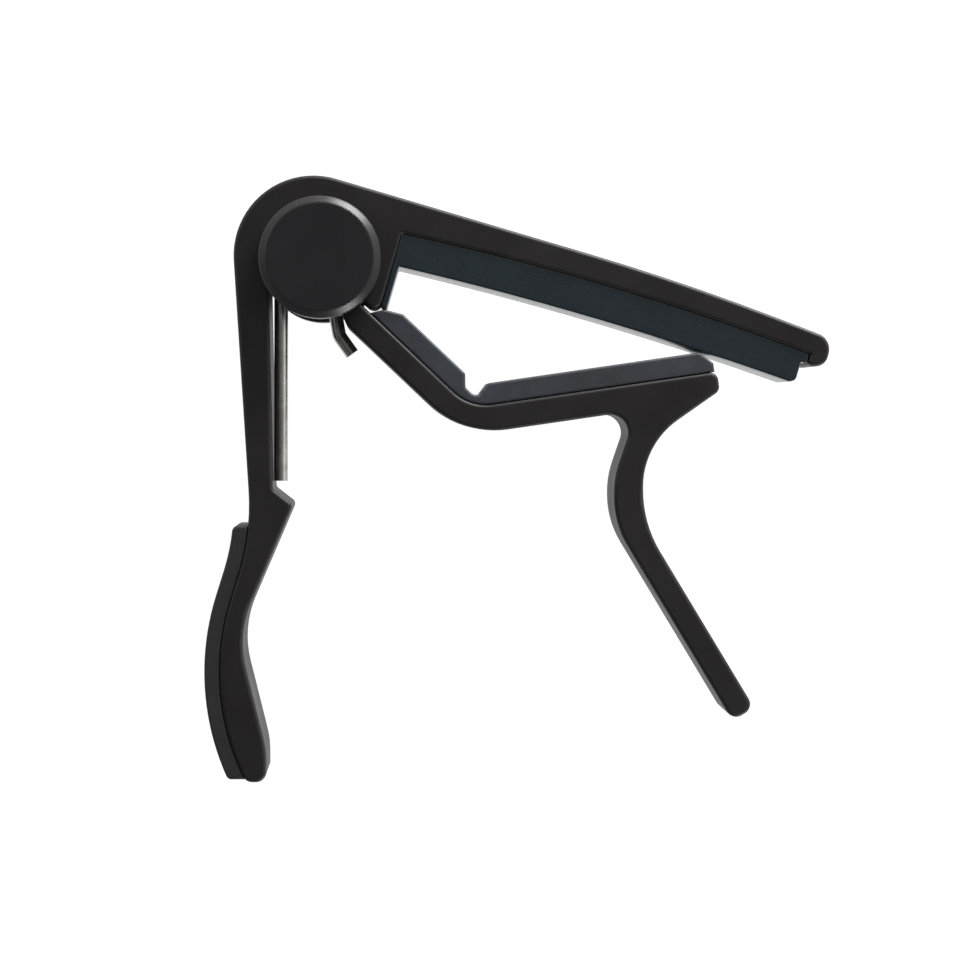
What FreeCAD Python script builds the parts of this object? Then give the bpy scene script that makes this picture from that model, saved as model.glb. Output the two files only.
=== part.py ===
import FreeCAD, Part

import math
import os

# Spring-loaded guitar capo, lying on its rear pivot cap.
# Z is the pivot axis, X points along the fretting arm, and Y points from the grips to the arm.
# The origin is the centre of the rear cap's flat outer face. Lengths are millimetres, angles degrees.

# ---- Castings ----
bar_width = 11.0            # both levers, measured along the pivot axis
edge_radius = 0.5           # rounding along both faces of each lever
jaw_side_gap = 0.08         # the jaw lever is this much narrower on each side, so it clears the caps

# ---- Pivot stack ----
pin_diameter = 6.0
running_clearance = 0.04    # radial, between the pin and what turns on it
axial_clearance = 0.03      # between neighbours stacked along the pin
sleeve_wall = 1.05
washer_thickness = 0.20
ear_side_gap = 0.25         # jaw lever's shoulder to the edge of the frame's ears
lug_side_gap = 0.8          # edge of the jaw lever's lugs to the pocket wall
ear_overlap = 0.6           # pocket wall beyond the edge of the frame's ears
washer_bearing_width = 3.4
cap_height = 4.0
cap_rim_width = 0.92        # chamfer, measured across the cap
cap_rim_height = 0.80       # chamfer, measured along the axis
cap_overlap = 0.3           # cap's edge beyond the pocket that it hides
pin_seat_depth = 2.6        # pin end pressed into each cap
pin_chamfer = 0.3

# ---- Torsion spring ----
wire_diameter = 1.90
coil_gap = 0.02             # between neighbouring turns
coil_end_gap = 0.03         # between the coil's ends and the jaw lever's lugs
coil_whole_turns = 2
coil_sleeve_gap = 0.35      # radial, so that the coil can tighten
pocket_gap = 1.5            # radial, coil to the pocket wall
coil_end_angle = -60.0      # where the short leg leaves the coil
short_leg_heading = -80.0
short_leg_offset = 0.55     # from the pivot axis to the short leg's line
short_leg_radius = 2.0
short_leg_drop = 10.1       # from the pivot axis to the tail's bend
tail_heading = -54.6
tail_radius = 1.6
tail_length = 3.1
long_leg_length = 30.0
leg_contact_gap = 0.04      # left between the long leg's end and the handle
knuckle_swell = 0.01        # where each leg leaves the coil

# ---- Fretting arm ----
arm_slope = -16.3           # direction of the pad seat's chord
arm_seat_length = 57.75
arm_arch = 1.05             # rise of the seat's middle over its ends, for a cambered fingerboard
arch_share = 0.95           # share of the seat's length that is arched
seat_corner_radius = 0.3    # where the seat meets the head
seat_end_radius = 0.15      # where the seat meets the nose
arm_root_rise = 6.32        # pivot axis to the seat's corner, across the arm
ear_wall = 1.75             # wall between the pocket and the liner
arm_root_depth = 4.6
arm_tip_depth = 2.9
arm_taper_length = 22.2     # back from the nose
arm_crown_radius = 350.0
nose_length = 2.45
nose_drop = 1.4
nose_radius = 1.75          # under the nose
nose_top_radius = 2.3
nose_foot_radius = 0.6
ear_tip_radius = 1.2
mouth_reach = 2.0           # pivot axis to the mouth's inner corner, inside the pocket

# ---- Head and handle ----
handle_leg_gap = 0.72       # spring's coil to the handle's inner line, level with the pivot
head_radius = 10.8
handle_lean = 3.5           # outer edge from the vertical
handle_thickness = 4.6
handle_inner_lean = 1.05
shelf_gap = 1.0             # end of the spring's long leg to the shelf under it
shelf_width = 2.75
shelf_slope = -38.0
shelf_radius = 0.8
grip_start_drop = 36.0
grip_bend_drop = 37.05      # pivot axis to where the outer edge leans out
grip_lean_out = 17.5
grip_bow_drop = 57.8        # pivot axis to the middle of the palm swell
grip_lean_in = 23.6
grip_end_drop = 70.8
grip_bend_radius = 32.0
grip_bow_radius = 33.0
waist_lean = 23.3           # inner edge, above and below the waist
waist_return = 13.8
waist_drop = 50.7
waist_radius = 14.0
heel_drop = 66.3
heel_radius = 12.0
grip_end_radius = 1.4

# ---- Jaw lever ----
jaw_root_heading = -43.5
jaw_root_length = 28.4      # pivot axis to the bend, along the root
jaw_root_start = 8.9        # pivot axis to the root's lower corner, along the root
jaw_seat_offset = 0.65      # root seat's line passes this far under the pivot axis
jaw_bite_heading = 8.3
jaw_bite_length = 33.95      # bend to the tip
jaw_bend_radius = 6.2
jaw_under_radius = 12.8     # round the outside of the bend
jaw_root_depth = 3.5
jaw_bite_depth = 3.7
jaw_tip_depth = 2.65
jaw_tip_radius = 1.15
jaw_stop_gap = 0.45         # ear tip to the jaw lever's seat, when closed
jaw_root_corner_radius = 0.7
jaw_brace_heading = 215.0   # underside of the tip, running back to the trigger
trigger_neck = 23.55         # bend to the trigger's outer edge, along X
trigger_neck_width = 4.0
trigger_heading = -58.8
trigger_neck_straight = 0.4   # between the neck's two bends
trigger_end_reach = 61.0    # pivot axis to the trigger's end, down
trigger_end_width = 3.5
trigger_brace_radius = 11.0
trigger_outer_radius = 16.4
trigger_inner_radius = 13.0
trigger_end_radius = 1.5
notch_lean = 19.0           # inner side of the neck, under the concave corner
notch_radius = 2.5
notch_blend_radius = 13.0

# ---- Rubber pads ----
pad_side_gap = 0.2          # pads are this much narrower than the levers, each side
bond_line = 0.03            # adhesive between a pad and its seat
arm_pad_depth = 4.35        # below the seat's chord, at both ends
arm_pad_arch = 0.75         # rise of the pad's underside in the middle
liner_corner_radius = 0.3
liner_thickness = 0.85
liner_length = 10.3
arm_pad_end_gap = 0.08
arm_pad_base = 1.3          # thin base of the bar, which reaches the end of the seat
arm_pad_end_step = 0.8      # base beyond the end of the bar
arm_pad_corner = 0.9
jaw_pad_depth = 2.9
jaw_web_depth = 1.55
jaw_pad_lead = 3.06         # pocket wall to the jaw pad's start, along the root
jaw_block_end = 2.3         # bend to the short block's end, along the root
jaw_long_start = 1.6        # bend to the long block's start, along the bite
jaw_pad_overhang = 0.35     # lever's tip beyond the long block
jaw_block_chamfer = 1.7
jaw_lip_length = 2.3
jaw_web_radius = 1.2        # in the web's bend
jaw_lip_depth = 1.6
jaw_start_slant = 1.05      # foot of the short block's start, beyond its lip
grip_pad_depth = 2.05
grip_pad_end_gap = 0.4
grip_pad_end_radius = 0.8
pad_corner_radius = 0.45

# ---- Sizes that follow from the ones above ----
mid_plane = cap_height + bar_width / 2.0
frame_bottom = cap_height
frame_top = cap_height + bar_width
jaw_bottom = frame_bottom + jaw_side_gap
jaw_top = frame_top - jaw_side_gap
pad_bottom = frame_bottom + pad_side_gap
pad_top = frame_top - pad_side_gap
pin_radius = pin_diameter / 2.0
sleeve_inner_radius = pin_radius + running_clearance
sleeve_outer_radius = sleeve_inner_radius + sleeve_wall
wire_radius = wire_diameter / 2.0
coil_radius = sleeve_outer_radius + coil_sleeve_gap + wire_radius
pocket_radius = coil_radius + wire_radius + pocket_gap
lug_radius = pocket_radius - lug_side_gap
ear_radius = pocket_radius - ear_overlap
cap_radius = pocket_radius + cap_overlap
jaw_block_start = jaw_root_length - pocket_radius - jaw_pad_lead
handle_inner = coil_radius + wire_radius + handle_leg_gap
handle_outer = handle_inner + handle_thickness
leg_drift = (handle_leg_gap - leg_contact_gap) / long_leg_length - math.tan(math.radians(handle_inner_lean))
long_leg_lean = math.degrees(math.atan(leg_drift))
coil_turns = coil_whole_turns + (180.0 - coil_end_angle - long_leg_lean) / 360.0
coil_pitch = wire_diameter + coil_gap
lug_inner = coil_turns * coil_pitch / 2.0 + wire_radius + coil_end_gap
pivot_wall = (bar_width / 2.0 - lug_inner - washer_thickness) / 2.0 - axial_clearance
lug_outer = lug_inner + pivot_wall

PIVOT = FreeCAD.Vector(0, 0, 0)
UP = FreeCAD.Vector(0, 0, 1)


# ---- Outlines ----
def heading(angle):
    """Unit vector in the X-Y plane, at an angle from +X."""
    turn = math.radians(angle)
    return FreeCAD.Vector(math.cos(turn), math.sin(turn), 0)


def offset_from(origin, angle, along, across):
    """Point at a distance along a direction, and at a distance to its left."""
    return origin + heading(angle) * along + heading(angle + 90.0) * across


def crossing(point_a, angle_a, point_b, angle_b):
    """Where two lines in the X-Y plane meet."""
    a = heading(angle_a)
    b = heading(angle_b)
    between = point_b - point_a
    along = (between.x * b.y - between.y * b.x) / (a.x * b.y - a.y * b.x)
    return point_a + a * along


def at_height(point, angle, y):
    """Where a line in the X-Y plane reaches a height y."""
    return crossing(point, angle, FreeCAD.Vector(0, y, 0), 0.0)


def setback(radius, turn):
    """Distance from a corner to the start of the arc that rounds it."""
    return radius * math.tan(math.radians(abs(turn)) / 2.0)


def corner_arc(before, corner, after, radius):
    """Start, middle and end of the arc that rounds a corner."""
    back = (before - corner).normalize()
    on = (after - corner).normalize()
    half_turn = (math.pi - back.getAngle(on)) / 2.0
    reach = radius * math.tan(half_turn)
    inward = (back + on).normalize()
    middle = corner + inward * (radius / math.cos(half_turn) - radius)
    return corner + back * reach, middle, corner + on * reach


def rounded_edges(corners, closed):
    """Straight edges joined by tangent arcs, through a list of (point, radius)."""
    points = [point for point, radius in corners]
    stops = []
    for i, (point, radius) in enumerate(corners):
        loose_end = not closed and i in (0, len(corners) - 1)
        if radius == 0 or loose_end:
            stops.append((point, None, point))
        else:
            stops.append(corner_arc(points[i - 1], point, points[(i + 1) % len(points)], radius))
    edges = []
    for i, (start, middle, end) in enumerate(stops):
        if middle is not None:
            edges.append(Part.Arc(start, middle, end).toShape())
        if closed or i + 1 < len(stops):
            following = stops[(i + 1) % len(stops)][0]
            if end.distanceToPoint(following) > 1e-6:
                edges.append(Part.LineSegment(end, following).toShape())
    return edges


def prism(corners, bottom, top):
    """Solid with a rounded outline, between two heights."""
    face = Part.Face(Part.Wire(rounded_edges(corners, True)))
    face.translate(UP * bottom)
    return face.extrude(UP * (top - bottom))


def parallel(corners, distance):
    """The same open line of corners, moved to its left, with concentric roundings."""
    moved = []
    for i, (point, radius) in enumerate(corners):
        legs = []
        if i > 0:
            legs.append(point - corners[i - 1][0])
        if i + 1 < len(corners):
            legs.append(corners[i + 1][0] - point)
        normals = [UP.cross(leg).normalize() for leg in legs]
        across = normals[0] if len(normals) == 1 else (normals[0] + normals[1]).normalize()
        reach = distance / across.dot(normals[0])
        if len(legs) == 2 and radius > 0:
            left_turn = legs[0].cross(legs[1]).z > 0
            radius = radius - distance if left_turn else radius + distance
        moved.append((point + across * reach, radius))
    return moved


def disc(radius, bottom, top, centre=PIVOT):
    """Round plate about the pivot axis, between two heights."""
    return Part.makeCylinder(radius, top - bottom, centre + UP * bottom, UP)


def ring(outer_radius, inner_radius, bottom, top):
    """Round plate with a round hole, about the pivot axis."""
    return disc(outer_radius, bottom, top).cut(disc(inner_radius, bottom, top))


def soften_faces(solid, radius, levels):
    """Rounds the edges that lie in the faces at the given heights."""
    chosen = []
    for edge in solid.Edges:
        box = edge.BoundBox
        if any(abs(box.ZMin - z) < 1e-6 and abs(box.ZMax - z) < 1e-6 for z in levels):
            chosen.append(edge)
    return solid.makeFillet(radius, chosen)


# ---- Lines shared by the levers and their pads ----
arm_root = offset_from(PIVOT, arm_slope, pocket_radius + ear_wall, arm_root_rise)
jaw_bend = offset_from(PIVOT, jaw_root_heading, jaw_root_length, -jaw_seat_offset)


def arm_point(along, up):
    """Point on the arm, from the seat's corner."""
    return offset_from(arm_root, arm_slope, along, up)


def root_point(back, up):
    """Point on the jaw lever's root, measured back from the bend."""
    return offset_from(jaw_bend, jaw_root_heading, -back, up)


def bite_point(along, up):
    """Point on the jaw lever's bite, measured on from the bend."""
    return offset_from(jaw_bend, jaw_bite_heading, along, up)


def arch_corner(start, end, level, rise):
    """Corner whose rounding arches a line along the arm, between two distances from the root."""
    half = (end - start) / 2.0
    lean = 2.0 * math.atan(rise / half)
    corner = arm_point(start + half, level + half * math.tan(lean))
    return corner, arch_share * half / math.sin(lean)


def handle_outer_line():
    """Outer edge of the handle, from the head down to the palm swell's end."""
    top = offset_from(PIVOT, 180.0 + handle_lean, handle_outer, 0)
    down = -90.0 + handle_lean
    bend = at_height(top, down, -grip_bend_drop)
    out = -90.0 - grip_lean_out
    bow = at_height(bend, out, -grip_bow_drop)
    end = at_height(bow, -90.0 + grip_lean_in, -grip_end_drop)
    return top, bend, bow, end


def grip_seat():
    """Handle's outer edge as open corners: the grip pad covers its lower part."""
    top, bend, bow, end = handle_outer_line()
    return [(top, 0), (bend, grip_bend_radius), (bow, grip_bow_radius), (end, 0)]


# ---- Levers ----
def arm_corners():
    """Seat, nose and top of the fretting arm."""
    seat_end = arm_seat_length
    nose_end = arm_seat_length + nose_length
    return [
        (arm_point(0, 0), seat_corner_radius),
        arch_corner(0, seat_end, 0, arm_arch),
        (arm_point(seat_end, 0), seat_end_radius),
        (arm_point(seat_end, -nose_drop), nose_foot_radius),
        (arm_point(nose_end, -nose_drop), nose_radius),
        (arm_point(nose_end, arm_tip_depth), nose_top_radius),
        (arm_point(nose_end - arm_taper_length, arm_root_depth), arm_crown_radius),
    ]


def handle_corners():
    """Handle from the head round its outer side, its end and its inner side."""
    bend, bow, end = handle_outer_line()[1:]
    inner_down = -90.0 + handle_inner_lean
    inner_top = offset_from(PIVOT, 180.0 + handle_lean, handle_inner, 0)
    shelf = at_height(inner_top, inner_down, -long_leg_length - shelf_gap)
    lip = shelf + heading(shelf_slope) * (shelf_width / math.cos(math.radians(shelf_slope)))
    waist = at_height(lip, -90.0 - waist_lean, -waist_drop)
    heel = at_height(waist, -90.0 + waist_return, -heel_drop)
    heel_end = FreeCAD.Vector(heel.x, -grip_end_drop, 0)
    return [
        (bend, grip_bend_radius),
        (bow, grip_bow_radius),
        (end, grip_end_radius),
        (heel_end, grip_end_radius),
        (heel, heel_radius),
        (waist, waist_radius),
        (lip, shelf_radius),
        (shelf, shelf_radius),
        (inner_top, 0),
    ]


def make_frame():
    """Fretting arm, pivot head and handle, cast in one."""
    handle_top = handle_outer_line()[0]
    arm_top = arm_point(0, arm_root_depth)
    head = crossing(arm_top, arm_slope, handle_top, -90.0 + handle_lean)
    ear_line = offset_from(PIVOT, jaw_root_heading, 0, jaw_stop_gap - jaw_seat_offset)
    ear_tip = crossing(arm_root, arm_slope - 90.0, ear_line, jaw_root_heading)
    mouth = offset_from(ear_line, jaw_root_heading, mouth_reach, 0)
    corners = arm_corners() + [(head, head_radius)] + handle_corners()
    corners += [(mouth, 0), (ear_tip, ear_tip_radius)]
    body = prism(corners, frame_bottom, frame_top)
    body = soften_faces(body, edge_radius, [frame_bottom, frame_top])
    body = body.fuse(disc(ear_radius, frame_bottom, frame_top))
    pocket_bottom = frame_bottom + pivot_wall
    pocket_top = frame_top - pivot_wall
    body = body.cut(disc(pocket_radius, pocket_bottom, pocket_top))
    body = body.cut(disc(pin_radius, frame_bottom, frame_top))
    return body.removeSplitter()


def jaw_corners():
    """Outline of the jaw and trigger lever, with its root."""
    tip_x = jaw_bite_length
    brace = bite_point(tip_x, -jaw_tip_depth)
    outer_x = jaw_bend.x + trigger_neck
    neck = FreeCAD.Vector(outer_x, 0, 0)
    brace_corner = crossing(brace, jaw_brace_heading, neck, 90.0)
    lean = trigger_heading + 90.0
    outer_drop = setback(trigger_brace_radius, 270.0 - jaw_brace_heading) + trigger_neck_straight
    outer_bend = brace_corner - FreeCAD.Vector(0, outer_drop + setback(trigger_outer_radius, lean), 0)
    outer_end = at_height(outer_bend, trigger_heading, -trigger_end_reach)
    inner_x = outer_x - trigger_neck_width
    inner_bend = FreeCAD.Vector(inner_x, outer_bend.y, 0)
    notch_rise = setback(trigger_inner_radius, lean) + trigger_neck_straight
    notch_bend = inner_bend + FreeCAD.Vector(0, notch_rise + setback(notch_blend_radius, notch_lean), 0)
    inner_end = offset_from(outer_end, trigger_heading - 90.0, trigger_end_width, 0)
    notch = crossing(notch_bend, 90.0 - notch_lean, bite_point(0, -jaw_bite_depth), jaw_bite_heading)
    under_root = root_point(0, -jaw_root_depth)
    under_bend = crossing(under_root, jaw_root_heading, bite_point(0, -jaw_bite_depth), jaw_bite_heading)
    root_end = root_point(jaw_root_length - jaw_root_start, -jaw_root_depth)
    return [
        (root_point(jaw_root_length, 0), 0),
        (jaw_bend, jaw_bend_radius),
        (bite_point(tip_x, 0), jaw_tip_radius),
        (brace, jaw_tip_radius),
        (brace_corner, trigger_brace_radius),
        (outer_bend, trigger_outer_radius),
        (outer_end, trigger_end_radius),
        (inner_end, trigger_end_radius),
        (inner_bend, trigger_inner_radius),
        (notch_bend, notch_blend_radius),
        (notch, notch_radius),
        (under_bend, jaw_under_radius),
        (root_end, jaw_root_corner_radius),
    ]


def make_jaw_lever():
    """Jaw and trigger in one casting, with two thin lugs round the pin."""
    body = prism(jaw_corners(), jaw_bottom, jaw_top)
    body = soften_faces(body, edge_radius, [jaw_bottom, jaw_top])
    body = body.fuse(disc(lug_radius, jaw_bottom, jaw_top))
    shoulder_radius = ear_radius + ear_side_gap
    body = body.cut(disc(shoulder_radius, frame_bottom, mid_plane - lug_outer))
    body = body.cut(disc(shoulder_radius, mid_plane + lug_outer, frame_top))
    slot_bottom = mid_plane - lug_inner
    slot_top = mid_plane + lug_inner
    body = body.cut(disc(pocket_radius, slot_bottom, slot_top))
    leg_side = short_leg_line_point(short_leg_drop).x + wire_radius + ear_side_gap
    relief = Part.makeBox(
        pocket_radius + leg_side,
        jaw_root_length,
        slot_top - slot_bottom,
        FreeCAD.Vector(-pocket_radius, -jaw_root_length, slot_bottom),
    )
    body = body.cut(relief)
    body = body.cut(disc(pin_radius + running_clearance, jaw_bottom, jaw_top))
    return body.removeSplitter()


# ---- Pivot ----
def make_cap(level, side):
    """Round cap over the pivot; side is +1 for the front and -1 for the rear."""
    body = Part.makeCylinder(cap_radius, cap_height - cap_rim_height, PIVOT, UP)
    rim = Part.makeCone(
        cap_radius, cap_radius - cap_rim_width, cap_rim_height, UP * (cap_height - cap_rim_height), UP
    )
    body = body.fuse(rim).removeSplitter()
    body = body.cut(disc(pin_radius, 0, pin_seat_depth))
    if side < 0:
        body.rotate(PIVOT, FreeCAD.Vector(1, 0, 0), 180)
    body.translate(UP * level)
    return body


def make_pivot_pin():
    """Plain pin, pressed into both caps."""
    pin = disc(pin_radius, frame_bottom - pin_seat_depth, frame_top + pin_seat_depth)
    ends = [frame_bottom - pin_seat_depth, frame_top + pin_seat_depth]
    rims = [e for e in pin.Edges if any(abs(e.CenterOfMass.z - z) < 1e-6 for z in ends) and e.Closed]
    return pin.makeChamfer(pin_chamfer, rims)


def make_sleeve():
    """Spacer that keeps the spring's coil round the pin."""
    half_length = lug_inner - axial_clearance
    return ring(sleeve_outer_radius, sleeve_inner_radius, mid_plane - half_length, mid_plane + half_length)


def make_washer(side):
    """Thin washer between a frame ear and a jaw lug."""
    inner = lug_outer + axial_clearance
    outer = inner + washer_thickness
    levels = sorted([mid_plane + side * inner, mid_plane + side * outer])
    hole = pin_radius + running_clearance
    return ring(hole + washer_bearing_width, hole, levels[0], levels[1])


# ---- Torsion spring ----
def short_leg_line_point(drop):
    """Point on the short leg's line, at a distance below the pivot axis."""
    start = offset_from(PIVOT, short_leg_heading, 0, short_leg_offset)
    return at_height(start, short_leg_heading, -drop)


def wire_along(corners, level):
    """Round wire along a flat path of (point, radius) corners at one height."""
    path = Part.Wire(rounded_edges(corners, False))
    path.translate(UP * level)
    start = corners[0][0] + UP * level
    along = corners[1][0] - corners[0][0]
    section = Part.Wire([Part.Circle(start, along, wire_radius).toShape()])
    return path.makePipeShell([section], True, False)


def make_spring():
    """Right-hand coil with a long leg on the handle and a short, bent leg under the jaw lever."""
    coil_height = coil_turns * coil_pitch
    rear = mid_plane - coil_height / 2.0
    front = mid_plane + coil_height / 2.0
    helix = Part.makeHelix(coil_pitch, coil_height, coil_radius)
    climb = FreeCAD.Vector(0, coil_radius, coil_pitch / (2.0 * math.pi))
    section = Part.Wire([Part.Circle(FreeCAD.Vector(coil_radius, 0, 0), climb, wire_radius).toShape()])
    coil = Part.Wire(helix.Edges).makePipeShell([section], True, True)
    coil.rotate(PIVOT, UP, coil_end_angle)
    coil.translate(UP * rear)

    coil_start = heading(coil_end_angle) * coil_radius
    tail_bend = short_leg_line_point(short_leg_drop)
    hook = crossing(coil_start, coil_end_angle - 90.0, tail_bend, short_leg_heading)
    tail_end = tail_bend + heading(tail_heading) * tail_length
    short_leg = wire_along(
        [(coil_start, 0), (hook, short_leg_radius), (tail_bend, tail_radius), (tail_end, 0)], rear
    )

    coil_finish = heading(180.0 - long_leg_lean) * coil_radius
    long_end = coil_finish + heading(-90.0 - long_leg_lean) * long_leg_length
    long_leg = wire_along([(coil_finish, 0), (long_end, 0)], front)

    knuckle_radius = wire_radius + knuckle_swell
    knuckles = [
        Part.makeSphere(knuckle_radius, coil_start + UP * rear),
        Part.makeSphere(knuckle_radius, coil_finish + UP * front),
    ]
    return coil.fuse(knuckles).fuse([short_leg, long_leg])


# ---- Rubber pads ----
def make_arm_pad():
    """L-shaped pad: a thin liner down the head's wall and a thick bar under the arm."""
    end = arm_seat_length - arm_pad_end_gap
    bar_end = end - arm_pad_end_step
    corners = [
        (arm_point(bond_line, -bond_line), seat_corner_radius),
        arch_corner(0, arm_seat_length, -bond_line, arm_arch),
        (arm_point(end, -bond_line), seat_end_radius),
        (arm_point(end, -arm_pad_base), liner_corner_radius),
        (arm_point(bar_end, -arm_pad_base), 0),
        (arm_point(bar_end, -arm_pad_depth), arm_pad_corner),
        arch_corner(liner_thickness, bar_end, -arm_pad_depth, arm_pad_arch),
        (arm_point(liner_thickness, -arm_pad_depth), liner_corner_radius),
        (arm_point(liner_thickness, -liner_length), liner_corner_radius),
        (arm_point(bond_line, -liner_length), liner_corner_radius),
    ]
    return prism(corners, pad_bottom, pad_top)


def make_jaw_pad():
    """Two raised blocks on a thin web that follows the jaw lever's bend."""
    web_bend = crossing(
        root_point(0, jaw_web_depth), jaw_root_heading, bite_point(0, jaw_web_depth), jaw_bite_heading
    )
    seat_bend = crossing(
        root_point(0, bond_line), jaw_root_heading, bite_point(0, bond_line), jaw_bite_heading
    )
    slope = jaw_pad_depth - jaw_web_depth
    pad_end = jaw_bite_length - jaw_pad_overhang
    corners = [
        (root_point(jaw_block_start + jaw_start_slant, bond_line), 0),
        (seat_bend, jaw_bend_radius - bond_line),
        (bite_point(pad_end, bond_line), 0),
        (bite_point(pad_end, jaw_pad_depth - jaw_block_chamfer), pad_corner_radius),
        (bite_point(pad_end - jaw_block_chamfer, jaw_pad_depth), pad_corner_radius),
        (bite_point(jaw_long_start + slope, jaw_pad_depth), pad_corner_radius),
        (bite_point(jaw_long_start, jaw_web_depth), pad_corner_radius),
        (web_bend, jaw_web_radius),
        (root_point(jaw_block_end, jaw_web_depth), pad_corner_radius),
        (root_point(jaw_block_end + slope, jaw_pad_depth), pad_corner_radius),
        (root_point(jaw_block_start - jaw_lip_length, jaw_pad_depth), pad_corner_radius),
        (root_point(jaw_block_start, jaw_lip_depth), pad_corner_radius),
    ]
    return prism(corners, pad_bottom, pad_top)


def make_grip_pad():
    """Rubber strip over the handle's palm swell."""
    seat = grip_seat()
    bonded = parallel(seat, -bond_line)
    outer = parallel(seat, -grip_pad_depth)
    strip = prism(bonded + list(reversed(outer)), pad_bottom, pad_top)
    ends = [-grip_start_drop, grip_pad_end_gap - grip_end_drop]
    side = handle_outer + grip_bow_drop
    corner = FreeCAD.Vector(-side, ends[1], frame_bottom)
    strip = strip.common(Part.makeBox(side, ends[0] - ends[1], bar_width, corner))
    outer_edges = []
    for y in ends:
        at_end = [e for e in strip.Edges if abs(e.CenterOfMass.y - y) < 1e-6]
        uprights = [e for e in at_end if e.BoundBox.XLength < 1e-6]
        outer_edges.append(min(uprights, key=lambda e: e.BoundBox.XMin))
    return strip.makeFillet(grip_pad_end_radius, outer_edges)


def main():
    parts = {
        "frame": make_frame(),
        "jaw_lever": make_jaw_lever(),
        "front_cap": make_cap(frame_top, 1),
        "rear_cap": make_cap(frame_bottom, -1),
        "pivot_pin": make_pivot_pin(),
        "spring_sleeve": make_sleeve(),
        "front_washer": make_washer(1),
        "rear_washer": make_washer(-1),
        "torsion_spring": make_spring(),
        "arm_pad": make_arm_pad(),
        "jaw_pad": make_jaw_pad(),
        "grip_pad": make_grip_pad(),
    }
    os.makedirs("parts", exist_ok=True)
    for name, shape in parts.items():
        shape.exportStep(os.path.join("parts", name + ".step"))
        box = shape.BoundBox
        print(
            f"{name:15s} solids {len(shape.Solids)} valid {shape.isValid()} volume {shape.Volume:9.2f}"
            f"  x {box.XMin:7.2f} {box.XMax:7.2f}  y {box.YMin:7.2f} {box.YMax:7.2f}"
            f"  z {box.ZMin:6.2f} {box.ZMax:6.2f}"
        )


main()
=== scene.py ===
import math

import bmesh
import bpy
from mathutils import Matrix, Vector


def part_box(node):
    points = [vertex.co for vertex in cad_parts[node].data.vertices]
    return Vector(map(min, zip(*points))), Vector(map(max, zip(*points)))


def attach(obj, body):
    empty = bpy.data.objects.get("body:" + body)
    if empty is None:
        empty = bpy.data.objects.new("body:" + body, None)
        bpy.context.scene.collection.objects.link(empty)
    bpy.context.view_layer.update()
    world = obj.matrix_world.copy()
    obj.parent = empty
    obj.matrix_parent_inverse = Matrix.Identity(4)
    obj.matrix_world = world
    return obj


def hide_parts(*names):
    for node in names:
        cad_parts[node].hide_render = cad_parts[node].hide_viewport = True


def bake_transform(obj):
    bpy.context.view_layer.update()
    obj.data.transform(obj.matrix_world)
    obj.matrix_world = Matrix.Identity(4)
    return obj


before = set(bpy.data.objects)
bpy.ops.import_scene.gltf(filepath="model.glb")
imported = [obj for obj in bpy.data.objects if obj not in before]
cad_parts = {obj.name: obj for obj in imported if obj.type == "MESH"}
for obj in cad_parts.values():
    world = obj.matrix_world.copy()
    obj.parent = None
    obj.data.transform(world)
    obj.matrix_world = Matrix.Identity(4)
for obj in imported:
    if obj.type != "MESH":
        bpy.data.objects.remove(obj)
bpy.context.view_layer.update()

# Guitar capo: two black-coated levers on a capped pivot, a bright wire spring and rubber pads.
# Sizes here are millimetres, turned to metres where a mesh is made.
MM = 0.001

# ---- Sizes shared by the new pieces ----
arm_slope = -16.3
arm_root_along = 9.59       # pivot axis to the pad's corner, along the arm
arm_root_rise = 6.32        # and across it
arm_seat_length = 57.75
arm_arch = 1.05
arch_share = 0.95

jaw_root_heading = -43.5
jaw_root_length = 28.4
jaw_seat_offset = 0.65
jaw_bite_heading = 8.3
jaw_bite_length = 33.95
jaw_bend_radius = 6.2

handle_lean = 3.5
handle_outer = 11.66
grip_bend_drop = 37.05
grip_lean_out = 17.5
grip_bow_drop = 57.8
grip_lean_in = 23.6
grip_end_drop = 70.8
grip_bend_radius = 32.0
grip_bow_radius = 33.0

bond_line = -0.03           # pads are pressed a little into their adhesive

# ---- Torsion spring ----
wire_radius = 0.95
coil_radius = 5.39
coil_pitch = 1.92
coil_turns = 2.666
coil_steps = 132            # pieces that the coil is drawn in
coil_start_angle = -60.0    # where the short leg leaves the coil
short_leg_heading = -80.0
short_leg_offset = 0.55     # from the pivot axis to the short leg's line
short_leg_drop = 10.1       # from the pivot axis to the tail's bend
short_leg_radius = 2.0
tail_heading = -54.6
tail_radius = 1.6
tail_length = 3.1
long_leg_length = 30.0


# ---- Points in the plane of the levers ----
def heading(angle):
    turn = math.radians(angle)
    return Vector((math.cos(turn), math.sin(turn), 0.0))


def offset_from(origin, angle, along, across):
    return origin + heading(angle) * along + heading(angle + 90.0) * across


def crossing(point_a, angle_a, point_b, angle_b):
    a = heading(angle_a)
    b = heading(angle_b)
    between = point_b - point_a
    along = (between.x * b.y - between.y * b.x) / (a.x * b.y - a.y * b.x)
    return point_a + a * along


pivot = Vector((0.0, 0.0, 0.0))
arm_root = offset_from(pivot, arm_slope, arm_root_along, arm_root_rise)
jaw_bend = offset_from(pivot, jaw_root_heading, jaw_root_length, -jaw_seat_offset)


def on_arm(along, up):
    return offset_from(arm_root, arm_slope, along, up)


def on_root(back, up):
    return offset_from(jaw_bend, jaw_root_heading, -back, up)


def on_bite(along, up):
    return offset_from(jaw_bend, jaw_bite_heading, along, up)


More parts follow.
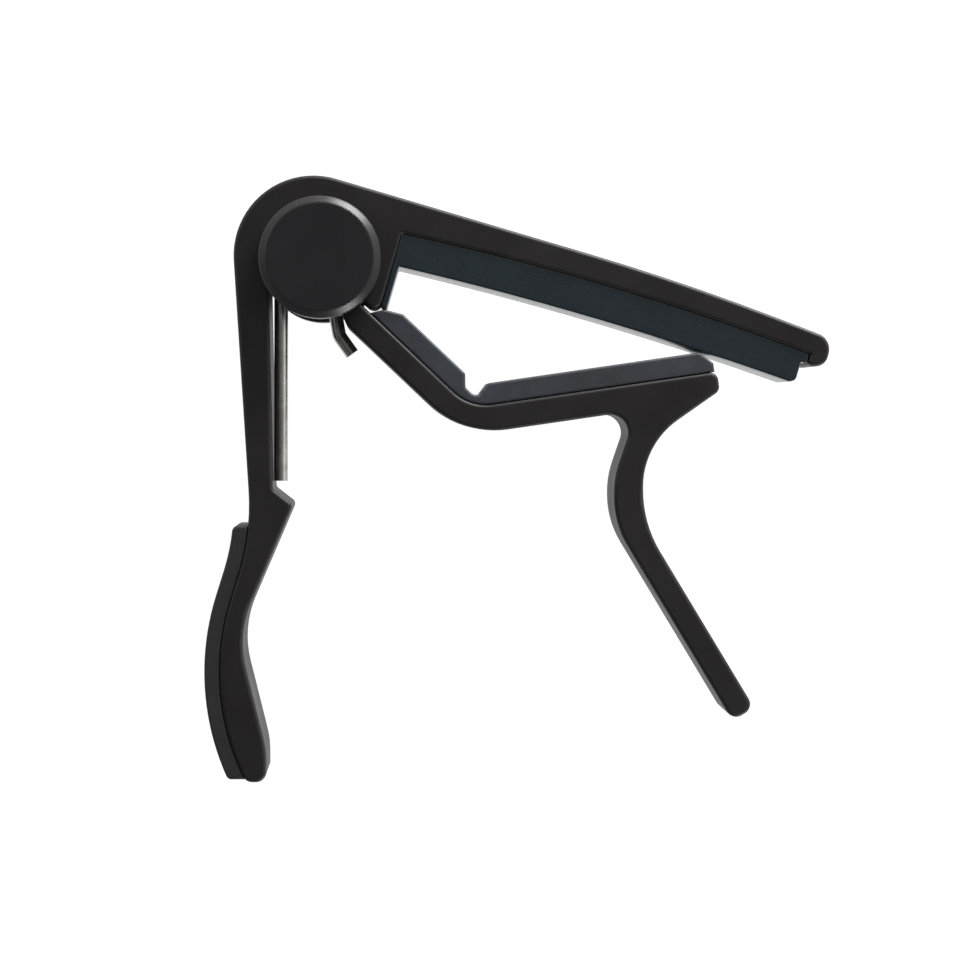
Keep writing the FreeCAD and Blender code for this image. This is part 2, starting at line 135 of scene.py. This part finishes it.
def arched(along, start, end, rise):
    """Height of a shallow arch over its chord."""
    half = (end - start) / 2.0
    aside = abs(along - start - half)
    lean = 2.0 * math.atan(rise / half)
    curved = arch_share * half
    if aside > curved:
        return (half - aside) * math.tan(lean)
    radius = curved / math.sin(lean)
    centre = (half - curved) * math.tan(lean) - radius * math.cos(lean)
    return centre + math.sqrt(radius * radius - aside * aside)


def rounded(corners, closed=True, step=7.0):
    """Points along an outline whose corners have true round arcs, one point for each few degrees."""
    points = []
    count = len(corners)
    for i, (corner, radius) in enumerate(corners):
        if radius == 0 or (not closed and i in (0, count - 1)):
            points.append(corner.copy())
            continue
        back = (corners[i - 1][0] - corner).normalized()
        on = (corners[(i + 1) % count][0] - corner).normalized()
        turn = math.pi - back.angle(on)
        reach = radius * math.tan(turn / 2.0)
        centre = corner + (back + on).normalized() * (radius / math.cos(turn / 2.0))
        start = corner + back * reach - centre
        side = 1.0 if start.cross(corner + on * reach - centre).z > 0 else -1.0
        pieces = max(3, int(math.degrees(turn) / step))
        for k in range(pieces + 1):
            points.append(centre + Matrix.Rotation(side * turn * k / pieces, 3, "Z") @ start)
    return points


# ---- Modelling ----
def deselect():
    if bpy.context.object and bpy.context.object.mode != "OBJECT":
        bpy.ops.object.mode_set(mode="OBJECT")
    bpy.ops.object.select_all(action="DESELECT")


def select_where(mesh, chosen, kind):
    """Selects the vertices, edges or faces that a test picks."""
    bpy.ops.mesh.select_mode(type=kind)
    bpy.ops.mesh.select_all(action="DESELECT")
    shape = bmesh.from_edit_mesh(mesh)
    items = {"VERT": shape.verts, "EDGE": shape.edges, "FACE": shape.faces}[kind]
    for item in items:
        if chosen(item):
            item.select_set(True)
    shape.select_flush_mode()
    bmesh.update_edit_mesh(mesh)


def moulded_strip(name, outline, low, high, rim, lip):
    """Rubber strip: an outline laid flat, drawn up to its width, with rounded rims.

    Each pad's rim and lip together are smaller than its outline's smallest rounded corner.
    """
    deselect()
    bpy.ops.mesh.primitive_circle_add(vertices=len(outline), radius=0.01, fill_type="NGON")
    piece = bpy.context.object
    piece.name = name
    piece.data.name = name
    for vertex, point in zip(piece.data.vertices, outline):
        vertex.co = Vector((point.x * MM, point.y * MM, low))
    bpy.ops.object.mode_set(mode="EDIT")
    bpy.ops.mesh.select_all(action="SELECT")
    bpy.ops.mesh.extrude_region_move(TRANSFORM_OT_translate={"value": (0.0, 0.0, high - low)})
    bpy.ops.mesh.select_all(action="SELECT")
    bpy.ops.mesh.normals_make_consistent(inside=False)

    def in_a_face(edge):
        heights = [vertex.co.z for vertex in edge.verts]
        return any(all(abs(z - level) < 1e-7 for z in heights) for level in (low, high))

    select_where(piece.data, in_a_face, "EDGE")
    bpy.ops.mesh.bevel(
        offset=rim * MM, segments=4, profile=0.5, affect="EDGES", clamp_overlap=False)
    for side in (-1.0, 1.0):
        select_where(
            piece.data, lambda face: face.normal.z * side > 0.99 and len(face.verts) > 8, "FACE")
        bpy.ops.mesh.inset(thickness=lip * MM, depth=0.0)
    bpy.ops.object.mode_set(mode="OBJECT")
    bpy.ops.object.shade_smooth_by_angle(angle=math.radians(32.0))
    return piece


# ---- Materials ----
def linear(code):
    """Linear colour from a hex code."""
    parts = [int(code[i:i + 2], 16) / 255.0 for i in (1, 3, 5)]
    parts = [c / 12.92 if c <= 0.04045 else ((c + 0.055) / 1.055) ** 2.4 for c in parts]
    return (*parts, 1.0)


def per_mm(size):
    """Texture scale for a pattern of a real size in millimetres."""
    return 1.0 / (size * MM)


def add(tree, kind, inputs=None, **settings):
    """Adds a node, with its settings, and with a value or a link for each input."""
    node = tree.nodes.new(kind)
    for name, value in settings.items():
        setattr(node, name, value)
    for name, value in (inputs or {}).items():
        if isinstance(value, bpy.types.NodeSocket):
            tree.links.new(value, node.inputs[name])
        else:
            node.inputs[name].default_value = value
    return node


def begin(name):
    material = bpy.data.materials.new(name)
    material.use_nodes = True
    tree = material.node_tree
    tree.nodes.clear()
    place = add(tree, "ShaderNodeTexCoord").outputs["Object"]
    return material, tree, place


def end(tree, shader):
    add(tree, "ShaderNodeOutputMaterial", {"Surface": shader.outputs["BSDF"]})


def satin_black_coat(name, face, pale, rough_low, rough_high, turned=False):
    """Black coating baked on cast aluminium. It gives a soft, even satin with a very fine grain,
    slightly cloudy over a centimetre, and its rounded edges carry a painted highlight in patches."""
    material, tree, place = begin(name)
    cloud = add(tree, "ShaderNodeTexNoise", {
        "Vector": place, "Scale": per_mm(9.0), "Detail": 3.0, "Roughness": 0.6})
    grain = add(tree, "ShaderNodeTexNoise", {
        "Vector": place, "Scale": per_mm(0.42), "Detail": 3.0, "Roughness": 0.7})
    shade = add(tree, "ShaderNodeMapRange", {
        "Value": cloud.outputs["Fac"], "From Min": 0.3, "From Max": 0.7, "To Min": 0.0, "To Max": 0.35})
    body = add(tree, "ShaderNodeMix", {
        "Factor": shade.outputs["Result"], "A": linear(face), "B": linear(pale)}, data_type="RGBA")
    speck = add(tree, "ShaderNodeMapRange", {
        "Value": grain.outputs["Fac"], "From Min": 0.56, "From Max": 0.74,
        "To Min": 0.0, "To Max": 0.5})
    flecked = add(tree, "ShaderNodeMix", {
        "Factor": speck.outputs["Result"], "A": body.outputs["Result"],
        "B": linear(pale)}, data_type="RGBA")
    # The rounded rims get a painted highlight: their colour is made paler in patches, standing in for
    # the light the fillets catch
    soft = add(tree, "ShaderNodeBevel", {"Radius": 0.45 * MM}, samples=6)
    true = add(tree, "ShaderNodeNewGeometry")
    alike = add(tree, "ShaderNodeVectorMath", {
        0: soft.outputs["Normal"], 1: true.outputs["Normal"]}, operation="DOT_PRODUCT")
    rim = add(tree, "ShaderNodeMapRange", {
        "Value": alike.outputs["Value"], "From Min": 0.90, "From Max": 0.995,
        "To Min": 1.0, "To Max": 0.0})
    patch = add(tree, "ShaderNodeTexNoise", {
        "Vector": place, "Scale": per_mm(2.2), "Detail": 4.0, "Roughness": 0.65})
    painted_rim_highlight_mask = add(tree, "ShaderNodeMath", {
        0: rim.outputs["Result"], 1: patch.outputs["Fac"]}, operation="MULTIPLY")
    # Painted highlight: the rims are mixed towards a paler grey
    with_painted_rim_highlight = add(tree, "ShaderNodeMix", {
        "Factor": painted_rim_highlight_mask.outputs["Value"], "A": flecked.outputs["Result"],
        "B": linear("#2E2E30")}, data_type="RGBA")
    gloss = add(tree, "ShaderNodeMapRange", {
        "Value": cloud.outputs["Fac"], "From Min": 0.3, "From Max": 0.7,
        "To Min": rough_low, "To Max": rough_high})
    height = grain.outputs["Fac"]
    facing = true.outputs["Normal"]
    if turned:
        facing = soft.outputs["Normal"]
        # Fine rings left by turning the cap
        flat = add(tree, "ShaderNodeVectorMath", {0: place, 1: (1.0, 1.0, 0.0)}, operation="MULTIPLY")
        out = add(tree, "ShaderNodeVectorMath", {0: flat.outputs["Vector"]}, operation="LENGTH")
        rings = add(tree, "ShaderNodeMath", {
            0: out.outputs["Value"], 1: 2.0 * math.pi * per_mm(0.30)}, operation="MULTIPLY")
        wave = add(tree, "ShaderNodeMath", {0: rings.outputs["Value"]}, operation="SINE")
        height = add(tree, "ShaderNodeMath", {
            0: wave.outputs["Value"], 1: 0.35, 2: grain.outputs["Fac"]},
            operation="MULTIPLY_ADD").outputs["Value"]
    bump = add(tree, "ShaderNodeBump", {
        "Height": height, "Strength": 0.35, "Distance": 0.012 * MM, "Normal": facing})
    shader = add(tree, "ShaderNodeBsdfPrincipled", {
        "Base Color": with_painted_rim_highlight.outputs["Result"], "Roughness": gloss.outputs["Result"],
        "Normal": bump.outputs["Normal"], "Metallic": 0.0, "IOR": 1.5, "Specular IOR Level": 0.28})
    end(tree, shader)
    return material


def moulded_rubber(name, face, pale, rough, pore, pore_depth):
    """Solid rubber from a mould. It is close to matt, slightly cloudy, with fine pores, a dusty bloom
    in small flecks, and no sharp highlight."""
    material, tree, place = begin(name)
    cloud = add(tree, "ShaderNodeTexNoise", {
        "Vector": place, "Scale": per_mm(6.0), "Detail": 5.0, "Roughness": 0.65})
    shade = add(tree, "ShaderNodeMapRange", {
        "Value": cloud.outputs["Fac"], "From Min": 0.3, "From Max": 0.72, "To Min": 0.0, "To Max": 1.0})
    body = add(tree, "ShaderNodeMix", {
        "Factor": shade.outputs["Result"], "A": linear(face), "B": linear(pale)}, data_type="RGBA")
    pores = add(tree, "ShaderNodeTexNoise", {
        "Vector": place, "Scale": per_mm(pore), "Detail": 4.0, "Roughness": 0.7})
    dust = add(tree, "ShaderNodeMapRange", {
        "Value": pores.outputs["Fac"], "From Min": 0.55, "From Max": 0.8, "To Min": 0.0, "To Max": 0.6})
    dusty = add(tree, "ShaderNodeMix", {
        "Factor": dust.outputs["Result"], "A": body.outputs["Result"],
        "B": linear(pale)}, data_type="RGBA")
    gloss = add(tree, "ShaderNodeMapRange", {
        "Value": pores.outputs["Fac"], "From Min": 0.3, "From Max": 0.7,
        "To Min": rough - 0.06, "To Max": rough + 0.08})
    bump = add(tree, "ShaderNodeBump", {
        "Height": pores.outputs["Fac"], "Strength": 0.5, "Distance": pore_depth * MM})
    shader = add(tree, "ShaderNodeBsdfPrincipled", {
        "Base Color": dusty.outputs["Result"], "Roughness": gloss.outputs["Result"],
        "Normal": bump.outputs["Normal"], "IOR": 1.52, "Specular IOR Level": 0.45})
    end(tree, shader)
    return material


def drawn_steel(name, face, dull, rough):
    """Plated spring wire. It is bright, with faint lines along its length from the drawing die
    and a few duller patches."""
    material, tree, place = begin(name)
    along = add(tree, "ShaderNodeMapping", {"Vector": place, "Scale": (1.0, 0.06, 1.0)})
    lines = add(tree, "ShaderNodeTexNoise", {
        "Vector": along.outputs["Vector"], "Scale": per_mm(0.16), "Detail": 3.0, "Roughness": 0.6})
    patch = add(tree, "ShaderNodeTexNoise", {
        "Vector": place, "Scale": per_mm(2.5), "Detail": 4.0, "Roughness": 0.6})
    shade = add(tree, "ShaderNodeMapRange", {
        "Value": patch.outputs["Fac"], "From Min": 0.35, "From Max": 0.7, "To Min": 0.0, "To Max": 0.8})
    body = add(tree, "ShaderNodeMix", {
        "Factor": shade.outputs["Result"], "A": linear(face), "B": linear(dull)}, data_type="RGBA")
    gloss = add(tree, "ShaderNodeMapRange", {
        "Value": lines.outputs["Fac"], "From Min": 0.3, "From Max": 0.7,
        "To Min": rough - 0.05, "To Max": rough + 0.12})
    bump = add(tree, "ShaderNodeBump", {
        "Height": lines.outputs["Fac"], "Strength": 0.4, "Distance": 0.01 * MM})
    shader = add(tree, "ShaderNodeBsdfPrincipled", {
        "Base Color": body.outputs["Result"], "Roughness": gloss.outputs["Result"],
        "Normal": bump.outputs["Normal"], "Metallic": 1.0})
    end(tree, shader)
    return material


def moulded_acetal(name, face, pale):
    """Moulded acetal for the sleeve and washers. It is waxy, off-white and faintly cloudy."""
    material, tree, place = begin(name)
    cloud = add(tree, "ShaderNodeTexNoise", {"Vector": place, "Scale": per_mm(1.5), "Detail": 3.0})
    body = add(tree, "ShaderNodeMix", {
        "Factor": cloud.outputs["Fac"], "A": linear(face), "B": linear(pale)}, data_type="RGBA")
    gloss = add(tree, "ShaderNodeMapRange", {
        "Value": cloud.outputs["Fac"], "From Min": 0.3, "From Max": 0.7, "To Min": 0.38, "To Max": 0.5})
    shader = add(tree, "ShaderNodeBsdfPrincipled", {
        "Base Color": body.outputs["Result"], "Roughness": gloss.outputs["Result"], "IOR": 1.48})
    end(tree, shader)
    return material


lever_coat = satin_black_coat("satin_black_coat_on_aluminium", "#141213", "#1D1B1C", 0.46, 0.56)
cap_coat = satin_black_coat(
    "satin_black_coat_on_turned_caps", "#171618", "#1F1E20", 0.34, 0.42, turned=True)
arm_rubber = moulded_rubber("moulded_rubber_arm_pad", "#151D21", "#1B2429", 0.24, 0.5, 0.006)
jaw_rubber = moulded_rubber("moulded_rubber_jaw_pad", "#1D2126", "#2B2F35", 0.52, 0.45, 0.02)
grip_rubber = moulded_rubber("moulded_rubber_grip_pad", "#0C0D0F", "#141518", 0.60, 0.35, 0.03)
spring_wire = drawn_steel("plated_spring_steel_wire", "#B9B8B5", "#8E8D8B", 0.26)
pin_steel = drawn_steel("ground_steel_pin", "#A9A9AA", "#8C8C8E", 0.30)
acetal = moulded_acetal("moulded_acetal", "#D9D6CC", "#E6E4DC")


# ---- Metal and inner pieces keep their solid shapes ----
def finish_node(name, material):
    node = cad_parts[name]
    node.data.materials.clear()
    node.data.materials.append(material)


finish_node("frame", lever_coat)
finish_node("jaw_lever", lever_coat)
finish_node("front_cap", cap_coat)
finish_node("rear_cap", cap_coat)
finish_node("pivot_pin", pin_steel)
finish_node("spring_sleeve", acetal)
finish_node("front_washer", acetal)
finish_node("rear_washer", acetal)


def stand_in(piece, node, body, material):
    """Puts a new piece in the place of a solid, on its body."""
    piece.data.materials.clear()
    piece.data.materials.append(material)
    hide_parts(node)
    if body:
        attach(piece, body)


# ---- Arm pad: a bar under the arm with a thin liner down the head ----
def arm_pad_outline():
    bar_depth = 4.35
    bar_arch = 0.75
    liner = 0.85
    liner_length = 10.3
    base = 1.3
    end_of_base = arm_seat_length - 0.08
    end_of_bar = end_of_base - 0.8
    stations = 16
    corners = [(on_arm(bond_line, -liner_length), 0.3)]
    for k in range(stations + 1):
        along = bond_line + (end_of_base - bond_line) * k / stations
        rise = max(0.0, arched(along, 0.0, arm_seat_length, arm_arch))
        corners.append((on_arm(along, rise - bond_line), 0))
    corners += [
        (on_arm(end_of_base, -base), 0.35),
        (on_arm(end_of_bar, -base), 0),
        (on_arm(end_of_bar, -bar_depth), 0.9),
    ]
    for k in range(stations - 1, 0, -1):
        along = liner + (end_of_bar - liner) * k / stations
        corners.append((on_arm(along, arched(along, liner, end_of_bar, bar_arch) - bar_depth), 0))
    corners += [
        (on_arm(liner, -bar_depth), 0.3),
        (on_arm(liner, -liner_length), 0.3),
    ]
    return rounded(corners)


low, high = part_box("arm_pad")
arm_pad = moulded_strip("arm_pad_rubber", arm_pad_outline(), low.z, high.z, rim=0.22, lip=0.06)
stand_in(arm_pad, "arm_pad", "frame", arm_rubber)


# ---- Jaw pad: two raised blocks on a thin web ----
def jaw_pad_outline():
    depth = 2.9
    web = 1.55
    block_start = 17.5
    start_slant = 1.05
    start_depth = 1.6
    start_slope = 2.3
    block_end = 2.3
    long_start = 1.6
    pad_end = jaw_bite_length - 0.35
    chamfer = 1.7
    corner = 0.45
    slope = depth - web
    seat_bend = crossing(
        on_root(0, bond_line), jaw_root_heading, on_bite(0, bond_line), jaw_bite_heading)
    web_bend = crossing(on_root(0, web), jaw_root_heading, on_bite(0, web), jaw_bite_heading)
    return rounded([
        (on_root(block_start + start_slant, bond_line), 0),
        (seat_bend, jaw_bend_radius - bond_line),
        (on_bite(pad_end, bond_line), 0),
        (on_bite(pad_end, depth - chamfer), corner),
        (on_bite(pad_end - chamfer, depth), corner),
        (on_bite(long_start + slope, depth), corner),
        (on_bite(long_start, web), corner),
        (web_bend, 1.2),
        (on_root(block_end, web), corner),
        (on_root(block_end + slope, depth), corner),
        (on_root(block_start - start_slope, depth), corner),
        (on_root(block_start, start_depth), corner),
    ])


low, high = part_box("jaw_pad")
jaw_pad = moulded_strip("jaw_pad_rubber", jaw_pad_outline(), low.z, high.z, rim=0.32, lip=0.12)
stand_in(jaw_pad, "jaw_pad", "jaw", jaw_rubber)


# ---- Grip pad: a strip over the handle's palm swell ----
def grip_pad_outline():
    depth = 2.05
    start_drop = 36.0
    end_gap = 0.4
    top = offset_from(pivot, 180.0 + handle_lean, handle_outer, 0)
    level = Vector((0.0, -grip_bend_drop, 0.0))
    bend = crossing(top, -90.0 + handle_lean, level, 0.0)
    bow = crossing(bend, -90.0 - grip_lean_out, Vector((0.0, -grip_bow_drop, 0.0)), 0.0)
    end = crossing(bow, -90.0 + grip_lean_in, Vector((0.0, -grip_end_drop, 0.0)), 0.0)
    corners = [(top, 0), (bend, grip_bend_radius), (bow, grip_bow_radius), (end, 0)]
    seat = rounded(corners, closed=False, step=2.0)
    inner = []
    outer = []
    for i, point in enumerate(seat):
        before = seat[max(0, i - 1)]
        after = seat[min(len(seat) - 1, i + 1)]
        outward = Vector((0.0, 0.0, -1.0)).cross(after - before).normalized()
        inner.append(point + outward * bond_line)
        outer.append(point + outward * depth)

    def between(line, upper, lower):
        """The part of a falling line between two levels, with its cut ends."""
        kept = []
        for a, b in zip(line, line[1:]):
            for y in (upper, lower):
                if a.y > y >= b.y:
                    kept.append(a + (b - a) * ((a.y - y) / (a.y - b.y)))
            if upper > b.y > lower:
                kept.append(b)
        return sorted(kept, key=lambda p: -p.y)

    upper = -start_drop
    lower = end_gap - grip_end_drop
    inner = between(inner, upper, lower)
    outer = between(outer, upper, lower)
    end_radius = 0.8
    corner_room = 1.2       # kept free of other points beside each rounded corner
    outer.reverse()
    lower_corner = outer[0]
    upper_corner = outer[-1]
    middle = [p for p in outer if lower_corner.y + corner_room < p.y < upper_corner.y - corner_room]
    loop = [(p, 0) for p in inner]
    loop += [(lower_corner, end_radius)] + [(p, 0) for p in middle] + [(upper_corner, end_radius)]
    return rounded(loop)


low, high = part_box("grip_pad")
grip_pad = moulded_strip("grip_pad_rubber", grip_pad_outline(), low.z, high.z, rim=0.3, lip=0.12)
stand_in(grip_pad, "grip_pad", "frame", grip_rubber)


# ---- Torsion spring: one length of wire ----
def spring_path():
    middle = (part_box("frame")[0].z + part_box("frame")[1].z) / 2.0 / MM
    height = coil_turns * coil_pitch
    rear = Vector((0.0, 0.0, middle - height / 2.0))
    front = Vector((0.0, 0.0, middle + height / 2.0))
    coil_start = heading(coil_start_angle) * coil_radius
    short_line = offset_from(pivot, short_leg_heading, 0, short_leg_offset)
    tail_level = Vector((0.0, -short_leg_drop, 0.0))
    tail_bend = crossing(short_line, short_leg_heading, tail_level, 0.0)
    hook = crossing(coil_start, coil_start_angle - 90.0, tail_bend, short_leg_heading)
    tail_end = tail_bend + heading(tail_heading) * tail_length
    corners = [(coil_start, 0), (hook, short_leg_radius), (tail_bend, tail_radius), (tail_end, 0)]
    path = [point + rear for point in reversed(rounded(corners, closed=False, step=6.0))]
    for k in range(1, coil_steps + 1):
        share = k / coil_steps
        around = heading(coil_start_angle + 360.0 * coil_turns * share)
        path.append(around * coil_radius + rear.lerp(front, share))
    coil_end = path[-1]
    leg_heading = coil_start_angle + 360.0 * coil_turns + 90.0
    for share in (0.5, 1.0):
        path.append(coil_end + heading(leg_heading) * long_leg_length * share)
    return path, front.z, rear.z


def wire_spring():
    path, front, rear = spring_path()
    deselect()
    line = bpy.data.curves.new("torsion_spring_wire", "CURVE")
    line.dimensions = "3D"
    spline = line.splines.new("POLY")
    spline.points.add(len(path) - 1)
    for point, place in zip(spline.points, path):
        point.co = (place.x * MM, place.y * MM, place.z * MM, 1.0)
    line.bevel_depth = wire_radius * MM
    line.bevel_resolution = 6
    line.use_fill_caps = True
    piece = bpy.data.objects.new("torsion_spring_wire", line)
    bpy.context.collection.objects.link(piece)
    bpy.context.view_layer.objects.active = piece
    piece.select_set(True)
    bpy.ops.object.convert(target="MESH")
    piece = bpy.context.object
    bpy.ops.object.mode_set(mode="EDIT")
    bpy.ops.mesh.select_all(action="SELECT")
    bpy.ops.mesh.remove_doubles(threshold=1e-6)
    bpy.ops.mesh.normals_make_consistent(inside=False)
    # Sheared wire ends, with the burr rounded off
    select_where(piece.data, lambda face: len(face.verts) > 4, "FACE")
    bpy.ops.mesh.bevel(offset=0.14 * MM, segments=3, affect="EDGES")
    bpy.ops.object.mode_set(mode="OBJECT")
    bpy.ops.object.shade_smooth_by_angle(angle=math.radians(40.0))
    return piece, front, rear


spring, leg_front, leg_rear = wire_spring()
stand_in(spring, "torsion_spring", None, spring_wire)
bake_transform(spring)


# ---- Floor, light and camera ----
def pale_floor():
    """White matt sheet, lit from below, so that its shadows are faint."""
    material, tree, place = begin("white_matt_sheet")
    cloud = add(tree, "ShaderNodeTexNoise", {"Vector": place, "Scale": per_mm(300.0), "Detail": 2.0})
    shade = add(tree, "ShaderNodeMix", {
        "Factor": cloud.outputs["Fac"], "A": linear("#6A6A6A"), "B": linear("#707070")},
        data_type="RGBA")
    shader = add(tree, "ShaderNodeBsdfPrincipled", {
        "Base Color": shade.outputs["Result"], "Roughness": 0.9, "Specular IOR Level": 0.0,
        "Emission Color": (1.0, 1.0, 1.0, 1.0), "Emission Strength": 0.97})
    end(tree, shader)
    deselect()
    bpy.ops.mesh.primitive_plane_add(size=4.0, location=(0.0, 0.0, 0.0))
    floor = bpy.context.object
    floor.name = "floor"
    floor.data.materials.append(material)


def studio_sky():
    """Soft light all round, bright low down and dim overhead, so that flat black faces stay dark.
    It is stronger and warmer beyond the arm than on the side of the grips."""
    world = bpy.data.worlds.new("studio")
    bpy.context.scene.world = world
    world.use_nodes = True
    tree = world.node_tree
    tree.nodes.clear()
    place = add(tree, "ShaderNodeTexCoord").outputs["Generated"]
    split = add(tree, "ShaderNodeSeparateXYZ", {"Vector": place})
    level = add(tree, "ShaderNodeMapRange", {
        "Value": split.outputs["Z"], "From Min": 0.40, "From Max": 0.90,
        "To Min": 0.75, "To Max": 0.18},
        interpolation_type="SMOOTHSTEP")
    side = add(tree, "ShaderNodeVectorMath", {0: place, 1: (0.45, 0.89, 0.0)}, operation="DOT_PRODUCT")
    share = add(tree, "ShaderNodeMapRange", {
        "Value": side.outputs["Value"], "From Min": -0.42, "From Max": 0.42,
        "To Min": 0.0, "To Max": 1.0},
        interpolation_type="SMOOTHSTEP")
    around = add(tree, "ShaderNodeMapRange", {
        "Value": share.outputs["Result"], "From Min": 0.0, "From Max": 1.0,
        "To Min": 0.25, "To Max": 2.1})
    tint = add(tree, "ShaderNodeMix", {
        "Factor": share.outputs["Result"], "A": (0.86, 0.95, 1.0, 1.0), "B": (1.0, 0.95, 0.93, 1.0)},
        data_type="RGBA")
    glow = add(tree, "ShaderNodeMath", {
        0: level.outputs["Result"], 1: around.outputs["Result"]}, operation="MULTIPLY")
    sky = add(tree, "ShaderNodeBackground", {
        "Color": tint.outputs["Result"], "Strength": glow.outputs["Value"]})
    add(tree, "ShaderNodeOutputWorld", {"Surface": sky.outputs["Background"]})


def softbox(name, place, target, size, power):
    lamp = bpy.data.lights.new(name, "AREA")
    lamp.shape = "RECTANGLE"
    lamp.size, lamp.size_y = size
    lamp.energy = power
    light = bpy.data.objects.new(name, lamp)
    light.location = place
    light.rotation_euler = (Vector(target) - Vector(place)).to_track_quat("-Z", "Y").to_euler()
    bpy.context.collection.objects.link(light)


def front_camera():
    eye = Vector((10.0, -20.65, 319.5)) * MM
    target = Vector((21.7, -30.0, 9.5)) * MM
    forward = (target - eye).normalized()
    right = forward.cross(Vector((0.0, 1.0, 0.0))).normalized()
    up = right.cross(forward)
    data = bpy.data.cameras.new("camera")
    data.lens = 84.5
    data.sensor_width = 36.0
    data.clip_start = 0.01
    camera = bpy.data.objects.new("camera", data)
    turn = Matrix((right, up, -forward)).transposed()
    camera.matrix_world = Matrix.Translation(eye) @ turn.to_4x4()
    bpy.context.collection.objects.link(camera)
    bpy.context.scene.camera = camera


pale_floor()
studio_sky()
softbox("far_softbox", (0.26, 0.45, 0.11), (0.02, -0.03, 0.0), (0.28, 0.14), 7.0)
softbox("near_softbox", (0.27, -0.46, 0.11), (0.02, -0.03, 0.0), (0.12, 0.12), 2.0)
softbox("left_softbox", (-0.45, 0.15, 0.32), (0.02, -0.03, 0.0), (0.30, 0.25), 0.8)
front_camera()
bpy.context.scene.view_settings.view_transform = "Standard"
bpy.context.scene.view_settings.look = "None"
